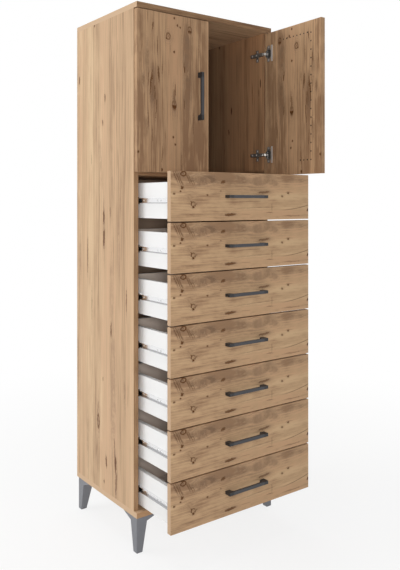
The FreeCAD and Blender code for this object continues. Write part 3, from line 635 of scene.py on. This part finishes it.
def shut_place(tree, place):
    """Object coordinates of the open right door, taken back to where it is shut."""
    back = swing.inverted()
    inputs = {"Vector": place, "Location": back.to_translation(), "Rotation": back.to_euler()}
    return add(tree, "Mapping", inputs, vector_type="POINT").outputs[0]


# Shades of the plain finishes: the stretch over which each of them changes, in metres, and its darkest
# value. The warm tint of the boxes' inner sides, painted bounce light, has its depth in the board, and how
# steep its faces stand.
RACE_STRETCH, RACE_SHADE = (0.0012, 0.0028), 0.6
CUP_STRETCH, CUP_SHADE = (0.004, 0.0005), 0.5
POST_STRETCH, POST_SHADE = (0.022, 0.014), 0.4
BOX_SKIN, BOX_FACING = (0.003, 0.005), (0.7, 0.5)
WHITE, BOUNCE_WARMTH = (1.0, 1.0, 1.0, 1.0), (1.0, 0.855, 0.745, 1.0)


def rail_race(tree, place):
    """A dark line of painted shade along the lower edge of each rail, where its ball race lies."""
    rise = calc(tree, "SUBTRACT", split(tree, place)[AXIS_Z], rail_level - drawer_pitch / 2)
    above = calc(tree, "SUBTRACT", calc(tree, "MODULO", rise, drawer_pitch), drawer_pitch / 2 - rail_half)
    return remap(tree, above, *RACE_STRETCH, RACE_SHADE, 1.0)


def cup_depth(tree, place):
    """Shade that deepens inside the hinge cups, below the door's inner face."""
    levels = (door_high.y - depth for depth in CUP_STRETCH)
    return remap(tree, split(tree, place)[AXIS_Y], *levels, CUP_SHADE, 1.0)


def open_cup_depth(tree, place):
    return cup_depth(tree, shut_place(tree, place))


def box_inside_bounce(tree, place):
    """The drawer boxes' inner sides, tinted warm: painted bounce light from the wood, which they get in the
    shade.
    """
    off = calc(tree, "ABSOLUTE", split(tree, place)[AXIS_X])
    rise = calc(tree, "ABSOLUTE", normal_parts(tree)[AXIS_Z])
    inside = remap(tree, off, *(box_half - skin for skin in BOX_SKIN))
    return mix(tree, calc(tree, "MULTIPLY", inside, remap(tree, rise, *BOX_FACING)), WHITE, BOUNCE_WARMTH)


def post_shade(axis, middle):
    """Shade of a handle's two posts, which lie far from its middle along an axis."""
    def shade(tree, place):
        off = calc(tree, "ABSOLUTE", calc(tree, "SUBTRACT", split(tree, place)[axis], middle))
        return remap(tree, off, *(handle_end - post for post in POST_STRETCH), 1.0, POST_SHADE)
    return shade


# Broad and fine features per metre of the plain finishes, and the strength of their bump
BROAD_FEATURES, FINE_FEATURES, FINE_BUMP = 6.0, 900.0, 0.25


def plain(name, colour, roughness, metallic=0.0, grain=(1.0, 1.0, 1.0), spread=0.06, depth=0.0001,
          gloss=0.1, shade=None, tint=None, specular=0.5):
    """A plain finish whose tone and gloss drift with a broad and a fine noise, stretched by grain.

    shade gives a factor that darkens places, and tint a colour that is multiplied in.
    """
    material, tree, shader, place = new_material(name)
    broad = noise(tree, place, tuple(BROAD_FEATURES * stretch for stretch in grain), 3.0)
    fine = noise(tree, place, tuple(FINE_FEATURES * stretch for stretch in grain), 2.0)
    tone = calc(tree, "MULTIPLY_ADD", calc(tree, "SUBTRACT", broad, NOISE_MEAN), 2 * spread, 1.0)
    tone = calc(tree, "MULTIPLY_ADD", calc(tree, "SUBTRACT", fine, NOISE_MEAN), spread, tone)
    if shade:
        tone = calc(tree, "MULTIPLY", tone, shade(tree, place))
    toned = add(tree, "VectorMath", {0: colour, "Scale": tone}, operation="SCALE").outputs[0]
    if tint:
        toned = mix(tree, 1.0, toned, tint(tree, place), "MULTIPLY")
    feed(tree, shader.inputs["Base Color"], toned)
    feed(tree, shader.inputs["Roughness"], calc(tree, "MULTIPLY_ADD", fine, gloss, roughness - gloss / 2))
    shader.inputs["Metallic"].default_value = metallic
    shader.inputs["Specular IOR Level"].default_value = specular
    bump(tree, shader, fine, FINE_BUMP, depth)
    return material


# Plain finishes
white_board = plain("white_board", (0.905, 0.905, 0.90), 0.36, spread=0.02, depth=0.00004, tint=box_inside_bounce)
white_hardboard = plain("white_hardboard", (0.92, 0.82, 0.745), 0.45, spread=0.03, depth=0.00006)
HANDLE_GREY = (0.053, 0.054, 0.061)
handle_metal = plain("handle_metal", HANDLE_GREY, 0.42, spread=0.1, depth=0.00006,
                     shade=post_shade(AXIS_X, 0.0))
door_handle_metal = plain("door_handle_metal", HANDLE_GREY, 0.42, spread=0.1, depth=0.00006,
                          shade=post_shade(AXIS_Z, door_middle.z))
rail_steel = plain("rail_steel", (0.87, 0.872, 0.878), 0.22, 1.0, (1.0, 0.03, 1.0), spread=0.02,
                   depth=0.000004, gloss=0.04, shade=rail_race)
NICKEL = (0.36, 0.34, 0.315)
hinge_steel = plain("hinge_steel", NICKEL, 0.34, 0.6, spread=0.12)
left_cup_steel = plain("left_cup_steel", NICKEL, 0.34, 0.6, spread=0.12, shade=cup_depth)
right_cup_steel = plain("right_cup_steel", NICKEL, 0.34, 0.6, spread=0.12, shade=open_cup_depth)
arm_steel = plain("arm_steel", (0.27, 0.25, 0.23), 0.38, 0.6, spread=0.25)
bright_steel = plain("bright_steel", (0.76, 0.71, 0.66), 0.3, 0.35, spread=0.08)
fitting_metal = plain("fitting_metal", (0.60, 0.59, 0.56), 0.32, 1.0, spread=0.1)
dark_steel = plain("dark_steel", (0.2, 0.2, 0.205), 0.4, 0.9, spread=0.1)
leg_plastic = plain("leg_plastic", (0.165, 0.171, 0.193), 0.34, specular=0.9, depth=0.00005)
dowel_wood = plain("dowel_wood", (0.66, 0.49, 0.31), 0.6, grain=(1.0, 1.0, 0.1), spread=0.15)
# Painted shade: the flat dark discs that stand for the pilot holes on the doors
pilot_shade = plain("pilot_shade", (0.03, 0.02, 0.014), 0.8, spread=0.2)

# Decor of the boards
side_decor = decor("side_decor", side_board, AXIS_Z, SIDE_MARKS, bands=SIDE_BANDS, hues=SIDE_HUES,
                   lines=0.1, run=0.45, streak=0.3, thread=0.75, fleck=0.5, smudge=MAUVE_COLOUR,
                   faces=inner_faces, edge=EDGE_TINT)
level_decor = decor("level_decor", lying, AXIS_X, end=LEVEL_END, edge=EDGE_TINT)
foot_decor = decor("foot_decor", lying, AXIS_X, end=LEVEL_END, edge=FOOT_EDGE_TINT)
back_decor = decor("back_decor", back_board, AXIS_Z, tint=BACK_TINT, faces=back_faces)
front_decor = decor("front_decor", drawer_front, AXIS_X, FRONT_MARKS, FRONT_TINT, FRONT_BANDS, FRONT_HUES,
                    growth=growth_line, lines=0.08, streak=0.26, thread=0.55, cloud=0.7, fleck=0.3,
                    lift=0.12)
# On the doors, lift is painted shade: they get darker towards the bottom
DOOR_GRAIN = {"lines": 0.3, "run": 0.7, "streak": 0.4, "thread": 0.9, "cloud": 0.3, "fleck": 0.6,
              "lift": 0.1}
door_decor = decor("door_decor", shut_door, AXIS_Z, DOOR_MARKS, DOOR_TINT, DOOR_BANDS, **DOOR_GRAIN)
open_door_decor = decor("open_door_decor", open_door, AXIS_Z, DOOR_MARKS, OPEN_DOOR_TINT, DOOR_BANDS,
                        **DOOR_GRAIN)

finishes = {
    "decor_board": side_decor, "decor_front": front_decor, "back_board": back_decor,
    "white_board": white_board, "white_hardboard": white_hardboard, "handle_metal": handle_metal,
    "rail_steel": rail_steel, "hinge_steel": hinge_steel, "leg_plastic": leg_plastic,
    "fitting_metal": fitting_metal, "dowel_wood": dowel_wood,
}
own_finishes = {
    "top_panel": level_decor, "bottom_panel": foot_decor, "fixed_shelf": level_decor,
    "left_door": door_decor, "right_door": open_door_decor,
    "left_door_handle": door_handle_metal, "right_door_handle": door_handle_metal,
    "left_hinge_cups": left_cup_steel, "right_hinge_cups": right_cup_steel,
    "hinge_plates": arm_steel, "hinge_arms": arm_steel,
}
for row in subparts:
    finish = own_finishes.get(row["node"], finishes[row["material_slot"]])
    nodes[row["node"]].data.materials.clear()
    nodes[row["node"]].data.materials.append(finish)

BOARD_EDGE, LEG_EDGE = 0.0008, 0.0015
WELD_GAP = 0.00001
SHARP_EDGE = math.radians(40)


def round_edges(name, width):
    """Breaks a node's sharp edges, as edging and mouldings are broken."""
    weld = nodes[name].modifiers.new("weld", "WELD")
    weld.merge_threshold = WELD_GAP
    bevel = nodes[name].modifiers.new("bevel", "BEVEL")
    bevel.width = width
    bevel.segments = 2
    bevel.limit_method = "ANGLE"
    bevel.angle_limit = SHARP_EDGE


for board_name in ("top_panel", "bottom_panel", "fixed_shelf", "left_door", "right_door"):
    round_edges(board_name, BOARD_EDGE)
for number in DRAWERS:
    round_edges(f"drawer_{number}_front", BOARD_EDGE)
for leg in ("front_left", "front_right", "rear_left", "rear_right"):
    round_edges(f"leg_{leg}", LEG_EDGE)


def at_face(place, normal):
    """A matrix that sets a piece, made along +Z, on a face."""
    turn = Vector((0.0, 0.0, 1.0)).rotation_difference(Vector(normal))
    return Matrix.Translation(place) @ turn.to_matrix().to_4x4()


def loop_edges(verts):
    return {edge for vert in verts for edge in vert.link_edges}


def from_bmesh(name, bm, material):
    """An object at the origin with a bmesh's faces and one material."""
    mesh = bpy.data.meshes.new(name)
    bm.to_mesh(mesh)
    bm.free()
    mesh.materials.append(material)
    made = bpy.data.objects.new(name, mesh)
    bpy.context.scene.collection.objects.link(made)
    return made


# A screw's head: its profile as shares of its half width and its rise, then its cross recess, whose reach
# and half width are shares of the head's width, and whose floor is a share of its rise
HEAD_PROFILE = ((1.0, 0.0), (1.0, 0.35), (0.9, 0.8), (0.72, 1.0))
CROSS_REACH, CROSS_HALF, CROSS_FLOOR = 0.27, 0.075, 0.3
HEAD_SEGMENTS, CROSS_CORNERS, DISC_SEGMENTS = 24, 12, 20


def screw_head(bm, place, width, rise):
    """A round head with a cross recess, standing on a face."""
    head = bmesh.new()
    loops = []
    for share, height in HEAD_PROFILE:
        ring = bmesh.ops.create_circle(head, segments=HEAD_SEGMENTS, radius=share * width / 2,
                                       matrix=Matrix.Translation((0.0, 0.0, height * rise)))
        loops.append(loop_edges(ring["verts"]))
    arm, half = CROSS_REACH * width, CROSS_HALF * width
    for height in (1.0, CROSS_FLOOR):
        cross = bmesh.ops.create_circle(head, segments=CROSS_CORNERS, radius=arm)
        for index, vert in enumerate(cross["verts"]):
            corner = ((arm, -half), (arm, half), (half, half))[index % 3]
            quarter = Matrix.Rotation(math.pi / 2 * (index // 3), 4, "Z")
            vert.co = quarter @ Vector((*corner, height * rise))
        loops.append(loop_edges(cross["verts"]))
    for lower, upper in zip(loops, loops[1:]):
        bmesh.ops.bridge_loops(head, edges=list(lower | upper))
    bmesh.ops.edgeloop_fill(head, edges=list(loops[-1]))
    bmesh.ops.recalc_face_normals(head, faces=head.faces)
    bmesh.ops.transform(head, matrix=place, verts=head.verts)
    copy = bpy.data.meshes.new("head")
    head.to_mesh(copy)
    head.free()
    bm.from_mesh(copy)
    bpy.data.meshes.remove(copy)


def disc(bm, place, width, rise):
    """A low disc with a slanted rim, standing on a face."""
    bmesh.ops.create_cone(bm, cap_ends=True, segments=DISC_SEGMENTS, radius1=width / 2,
                          radius2=width / 2 - rise, depth=rise,
                          matrix=place @ Matrix.Translation((0.0, 0.0, rise / 2)))


STRIP_LENGTH = 0.062


def cup_strip(bm, place, width, rise):
    """The straight strip of a cup's flange, with broken edges, standing on a face."""
    size = Matrix.Diagonal((width, STRIP_LENGTH, rise, 1.0))
    middle = place @ Matrix.Translation((0.0, 0.0, rise / 2))
    block = bmesh.ops.create_cube(bm, size=1.0, matrix=middle @ size)
    bmesh.ops.bevel(bm, geom=list(loop_edges(block["verts"])), offset=rise / 4, affect="EDGES", segments=2,
                    profile=0.5, material=-1)


def small_pieces(name, make, places, size, material, body):
    """One piece of many like heads or discs, riding on a body. size is the width and the rise of each."""
    bm = bmesh.new()
    for place in places:
        make(bm, place, *size)
    made = from_bmesh(name, bm, material)
    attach(made, body)


# Small fasteners: width and rise of each
SCREW = (0.0072, 0.0016)
LOW_SCREW = (0.0072, 0.0008)
RUNNER_SCREW = (0.00576, 0.0008)
FLUSH_SCREW = (0.0072, 0.0004)
HANDLE_SCREW = (0.0085, 0.002)
HANDLE_CAP = (0.011, 0.0012)
CAM_FACE = (0.012, 0.0004)
CAM_CAP = (0.017, 0.0006)
CUP_STRIP = (0.008, 0.0017)
# PILOT is no fastener: a flat dark disc of painted shade where a pilot hole is
PILOT = (0.0056, 0.0001)

# Where the fasteners sit on their hinge, rail, handle or board
PLATE_STEEL, PLATE_LENGTH, PLATE_SETBACK, PLATE_SCREWS = 0.002, 0.046, 0.037, 0.032
ARM_SCREW_PLACES = (0.026, 0.050)
CUP_INSET, CUP_STRIP_INSET, FLANGE_STEEL, FLANGE_SCREWS = 0.0205, 0.0385, 0.001, 0.048
RAIL_STEEL, RAIL_MARGIN, RAIL_DROP = 0.0012, 0.035, 0.013
RUNNER_SPACE, RUNNER_SCREW_PLACES = 0.0105, (0.072, 0.091)
HANDLE_POST, DOOR_HANDLE_INSET = 0.018, 0.042
CAM_SPREAD, CAM_REACH = 0.300, 0.024
plate_low, plate_high = (corner.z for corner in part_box("hinge_plates"))
hinge_levels = (plate_low + PLATE_LENGTH / 2, plate_high - PLATE_LENGTH / 2)
arm_face = min(abs(vert.co.x) for vert in nodes["hinge_arms"].data.vertices)

# Pilot holes on a door's inner face, drawn as flat dark discs of painted shade, in millimetres from the
# free edge and from the bottom edge
PILOT_COLUMN, PILOT_TOP, PILOT_BOTTOM, PILOT_STEP, PILOT_ROW_STEP = 50, 503, 50, 30, 18
pilot_row = [PILOT_COLUMN + PILOT_ROW_STEP * step for step in range(1, 9)]
pilot_hole_shades = ([(PILOT_COLUMN, PILOT_BOTTOM + PILOT_STEP * step) for step in range(16)]
               + [(across, PILOT_TOP) for across in pilot_row]
               + [(across, PILOT_BOTTOM) for across in pilot_row[:3]])


def carcass_screws():
    """Screws of the hinge plates, hinge arms and cabinet rails, and the faces and caps of the cams."""
    plates, arms, rails, cams, caps = [], [], [], [], []
    rails_low, rails_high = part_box("cabinet_rails")
    rail_ends = (rails_low.y + RAIL_MARGIN, rails_high.y - RAIL_MARGIN)
    lowest_rail = (front_low.z + front_high.z) / 2 - RAIL_DROP
    cap_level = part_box("top_panel")[0].z - CAM_REACH
    cam_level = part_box("bottom_panel")[1].z + CAM_REACH
    for side in BOTH:
        inwards = (-side, 0.0, 0.0)
        plate_x = side * (inner_x - PLATE_STEEL)
        for z in hinge_levels:
            for end in BOTH:
                place = (plate_x, side_front + PLATE_SETBACK, z + end * PLATE_SCREWS / 2)
                plates.append(at_face(place, inwards))
            arms += [at_face((side * arm_face, side_front + y, z), inwards) for y in ARM_SCREW_PLACES]
        for step in range(len(DRAWERS)):
            z = lowest_rail + step * drawer_pitch
            rails += [at_face((side * (inner_x - RAIL_STEEL), y, z), inwards) for y in rail_ends]
        for end in BOTH:
            y = carcass_middle + end * CAM_SPREAD / 2
            caps.append(at_face((side * inner_x, y, cap_level), inwards))
            cams.append(at_face((side * inner_x, y, cam_level), inwards))
            cams.append(at_face((side * (inner_x - CAM_REACH), y, shelf_low), (0.0, 0.0, -1.0)))
    for name, make, places, size, material, slot in (
            ("hinge_plate_screws", screw_head, plates, SCREW, bright_steel, "fitting_metal"),
            ("hinge_arm_screws", screw_head, arms, LOW_SCREW, bright_steel, "fitting_metal"),
            ("cabinet_rail_screws", screw_head, rails, SCREW, fitting_metal, "fitting_metal"),
            ("cam_recesses", screw_head, cams, CAM_FACE, fitting_metal, "fitting_metal"),
            ("cam_caps", disc, caps, CAM_CAP, side_decor, "decor_board")):
        small_pieces(name, make, places, size, material, "carcass")


def drawer_screws():
    """Screws of each drawer's rails and handle."""
    for number in DRAWERS:
        body = f"drawer_{number}"
        rails_low, rails_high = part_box(f"{body}_rails")
        rail_x = inner_x - RUNNER_SPACE + RAIL_STEEL
        rail_z = (rails_low.z + rails_high.z) / 2
        rail_places = [rails_low.y + back for back in RUNNER_SCREW_PLACES] + [rails_high.y - RAIL_MARGIN]
        rails = [at_face((side * rail_x, y, rail_z), (side, 0.0, 0.0))
                 for side in BOTH for y in rail_places]
        handle_low, handle_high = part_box(f"{body}_handle")
        post_x = handle_high.x - HANDLE_POST / 2
        post_z = (handle_low.z + handle_high.z) / 2
        front_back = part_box(f"{body}_front")[1].y
        posts = [at_face((side * post_x, front_back, post_z), TO_BACK) for side in BOTH]
        for name, places, size, material in (
                ("rail_screws", rails, RUNNER_SCREW, rail_steel),
                ("handle_screws", posts, HANDLE_SCREW, dark_steel)):
            small_pieces(f"{body}_{name}", screw_head, places, size, material, body)


def door_screws():
    """Fasteners of both doors, placed on the shut right door, then swung open or mirrored to the left."""
    free_edge, hinge_edge, inner_face = -door_high.x, -door_low.x, door_high.y
    handle_low, handle_high = (corner.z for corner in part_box("left_door_handle"))
    post_reach = (handle_high - handle_low) / 2 - HANDLE_POST / 2
    cups = [(hinge_edge - CUP_INSET, inner_face + FLANGE_STEEL, z + end * FLANGE_SCREWS / 2)
            for z in hinge_levels for end in BOTH]
    strips = [(hinge_edge - CUP_STRIP_INSET, inner_face, z) for z in hinge_levels]
    posts = [(free_edge + DOOR_HANDLE_INSET, inner_face, door_middle.z + end * post_reach) for end in BOTH]
    pilots = [(free_edge + across * MILLIMETRE, inner_face, door_low.z + rise * MILLIMETRE)
              for across, rise in pilot_hole_shades]
    for side, hand, swung, leaf_decor in (
            (-1, "left", Matrix(), door_decor),
            (1, "right", swing, open_door_decor)):
        for name, make, places, size, material, slot in (
                ("cup_screws", screw_head, cups, FLUSH_SCREW, bright_steel, "fitting_metal"),
                ("cup_strips", cup_strip, strips, CUP_STRIP, bright_steel, "hinge_steel"),
                ("handle_caps", disc, posts, HANDLE_CAP, leaf_decor, "decor_board"),
                ("pilot_hole_shades", disc, pilots, PILOT, pilot_shade, "decor_board")):
            placed = [swung @ at_face((side * x, y, z), TO_BACK) for x, y, z in places]
            small_pieces(f"{hand}_door_{name}", make, placed, size, material, f"{hand}_door_leaf")


carcass_screws()
drawer_screws()
door_screws()

# The floor's half size, paint, and how white the camera sees it near the cabinet and from how far on
FLOOR_HALF = 30.0
FLOOR_COLOUR, FLOOR_ROUGHNESS = (0.9, 0.9, 0.895, 1.0), 0.9
FLOOR_FADE, FLOOR_NEAR_WHITE = (0.4, 2.4), 0.82
AMBIENT = (0.27, 0.27, 0.27, 1.0)

# Lamps: place, size, power, and whether shiny pieces mirror them
LAMP_TARGET = Vector((0.0, -0.2, 0.9))
LAMPS = (
    ("key_lamp", (-3.6, 2.2, 1.9), 2.4, 76.0, False),
    ("fill_lamp", (-1.6, -2.4, 1.25), 0.5, 24.0, True),
    ("top_lamp", (0.0, 0.6, 4.8), 3.6, 90.0, True),
)


def pale_floor():
    """A pale floor that the camera and reflections see as nearly white, with the cabinet's shadow."""
    material, tree, shader, place = new_material("floor_paint")
    shader.inputs["Base Color"].default_value = FLOOR_COLOUR
    shader.inputs["Roughness"].default_value = FLOOR_ROUGHNESS
    seen = add(tree, "LightPath").outputs
    direct = calc(tree, "MAXIMUM", seen["Is Camera Ray"], seen["Is Glossy Ray"])
    distance = add(tree, "VectorMath", {0: place}, operation="LENGTH").outputs["Value"]
    fade = remap(tree, distance, *FLOOR_FADE, FLOOR_NEAR_WHITE, 1.0)
    white = add(tree, "Emission", {"Color": WHITE, "Strength": 1.0}).outputs[0]
    share = calc(tree, "MULTIPLY", fade, direct)
    blend = add(tree, "MixShader", {0: share, 1: shader.outputs[0], 2: white})
    feed(tree, tree.nodes["Material Output"].inputs["Surface"], blend.outputs[0])
    bm = bmesh.new()
    bmesh.ops.create_grid(bm, x_segments=1, y_segments=1, size=FLOOR_HALF)
    floor = from_bmesh("floor", bm, material)


def surround():
    """A dim world that the camera, reflections and clear pieces see as white."""
    world = bpy.data.worlds.new("surround")
    bpy.context.scene.world = world
    world.use_nodes = True
    tree = world.node_tree
    seen = add(tree, "LightPath").outputs
    direct = calc(tree, "MAXIMUM", seen["Is Camera Ray"], seen["Is Glossy Ray"])
    direct = calc(tree, "MAXIMUM", direct, seen["Is Transmission Ray"])
    feed(tree, tree.nodes["Background"].inputs["Color"], mix(tree, direct, AMBIENT, WHITE))


def lights():
    """Soft lamps that point at the cabinet."""
    for name, place, size, power, mirrored in LAMPS:
        lamp = bpy.data.lights.new(name, "AREA")
        lamp.size = size
        lamp.energy = power
        made = bpy.data.objects.new(name, lamp)
        made.location = place
        made.rotation_euler = (LAMP_TARGET - Vector(place)).to_track_quat("-Z", "Y").to_euler()
        made.visible_glossy = mirrored
        bpy.context.scene.collection.objects.link(made)


def camera():
    """A level camera with the photograph's frame."""
    lens = bpy.data.cameras.new("camera")
    lens.lens = CAMERA_LENS
    lens.shift_x, lens.shift_y = CAMERA_SHIFT
    made = bpy.data.objects.new("camera", lens)
    made.location = CAMERA_PLACE
    made.rotation_euler = (math.pi / 2, 0.0, CAMERA_TURN)
    bpy.context.scene.collection.objects.link(made)
    bpy.context.scene.camera = made


pale_floor()
surround()
lights()
camera()
bpy.context.scene.view_settings.view_transform = "Standard"
